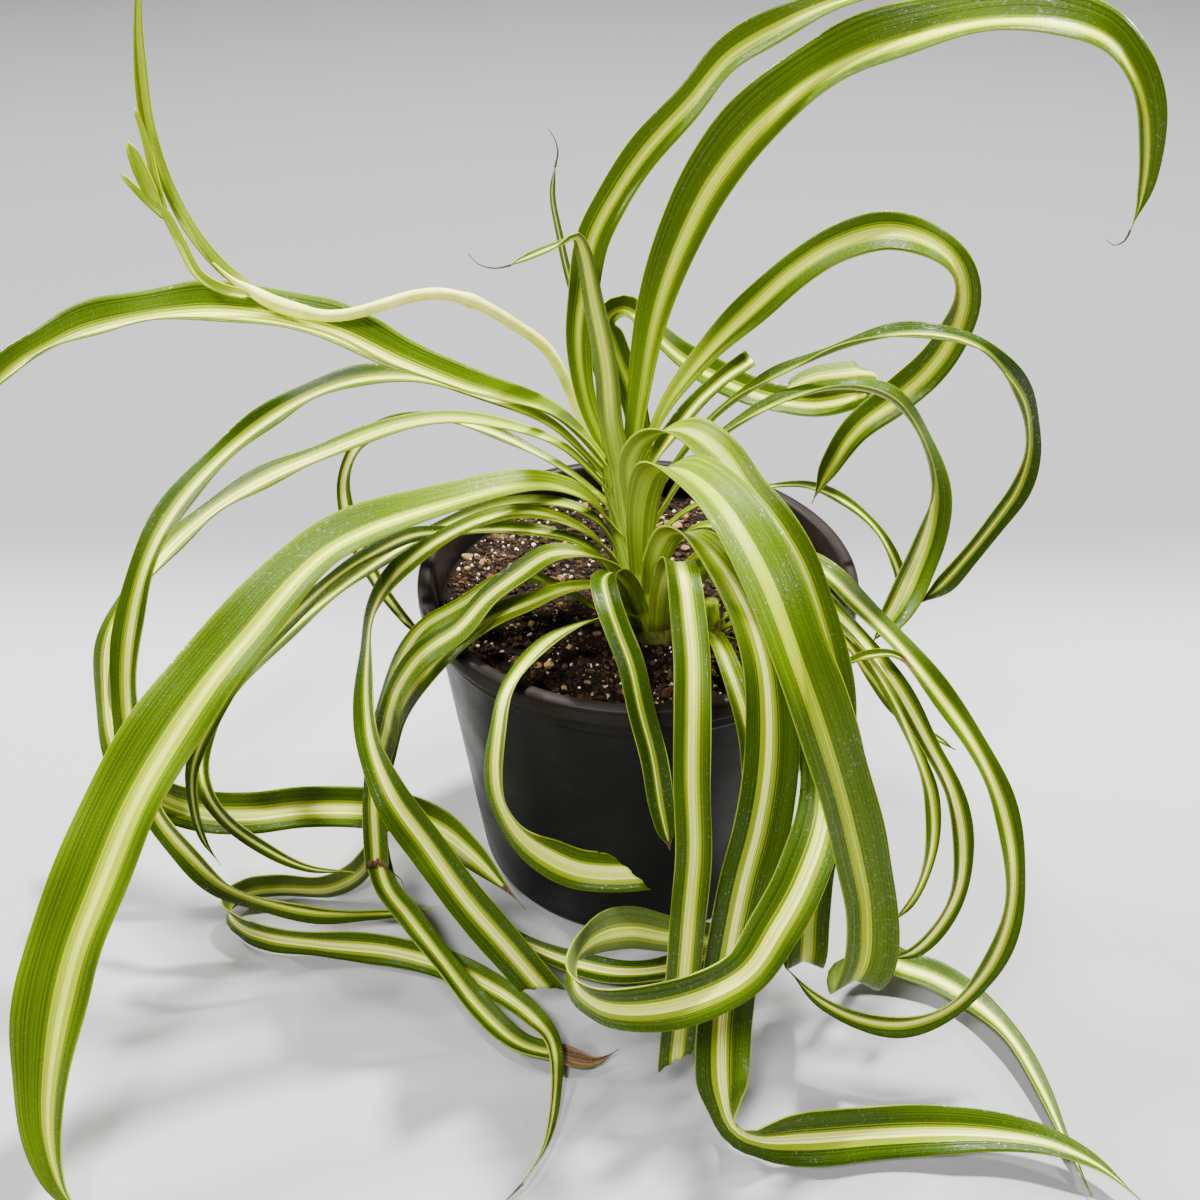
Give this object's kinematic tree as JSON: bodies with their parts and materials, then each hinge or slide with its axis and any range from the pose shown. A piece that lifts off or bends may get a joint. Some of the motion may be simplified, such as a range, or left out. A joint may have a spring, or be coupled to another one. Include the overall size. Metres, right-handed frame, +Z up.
{
  "type": "potted spider plant",
  "caption": "Variegated spider plant with long looping striped leaves and a runner, growing in damp mix in a round rolled-rim nursery pot.",
  "frame": {"origin": "centre of the pot's base, on the floor", "axes": "+Z up, -Y towards the plant's front, +X to the right as the front is looked at"},
  "size_m": [0.4077, 0.2596, 0.3284],
  "materials": {
    "pot_plastic": "satin",
    "potting_mix": "matte",
    "stem_tissue": "satin",
    "leaf_tissue": "satin"
  },
  "bodies": {
    "root": {"pot": "pot_plastic", "potting_mix": "potting_mix", "crown": "stem_tissue", "side_shoot": "stem_tissue", "leaf_front_left_broad": "leaf_tissue", "leaf_left_high": "leaf_tissue", "leaf_left_outer_loop": "leaf_tissue", "leaf_left_inner_loop": "leaf_tissue", "leaf_left_lower": "leaf_tissue", "leaf_left_thin": "leaf_tissue", "leaf_back_left": "leaf_tissue", "leaf_front_left_cut": "leaf_tissue", "leaf_left_cut": "leaf_tissue", "leaf_left_trailing": "leaf_tissue", "leaf_floor_curl": "leaf_tissue", "leaf_front_c_shaped": "leaf_tissue", "leaf_front_short": "leaf_tissue", "leaf_front_centre": "leaf_tissue", "leaf_front_folded": "leaf_tissue", "leaf_front_right_broad": "leaf_tissue", "leaf_right_behind_broad": "leaf_tissue", "leaf_front_hook": "leaf_tissue", "leaf_right_loop_inner": "leaf_tissue", "leaf_right_loop_outer": "leaf_tissue", "leaf_right_loop_narrow": "leaf_tissue", "leaf_right_short": "leaf_tissue", "leaf_right_low": "leaf_tissue", "leaf_floor_front": "leaf_tissue", "leaf_floor_right": "leaf_tissue", "leaf_right_twisting": "leaf_tissue", "leaf_right_arch": "leaf_tissue", "leaf_right_folded": "leaf_tissue", "leaf_top_right": "leaf_tissue", "leaf_top_left": "leaf_tissue", "leaf_top_front": "leaf_tissue", "leaf_top_thin": "leaf_tissue", "leaf_back_over": "leaf_tissue", "leaf_right_thin": "leaf_tissue", "leaf_right_snapped": "leaf_tissue", "runner": "stem_tissue", "young_leaf": "leaf_tissue", "young_stalk": "leaf_tissue"}
  },
  "joints": []
}
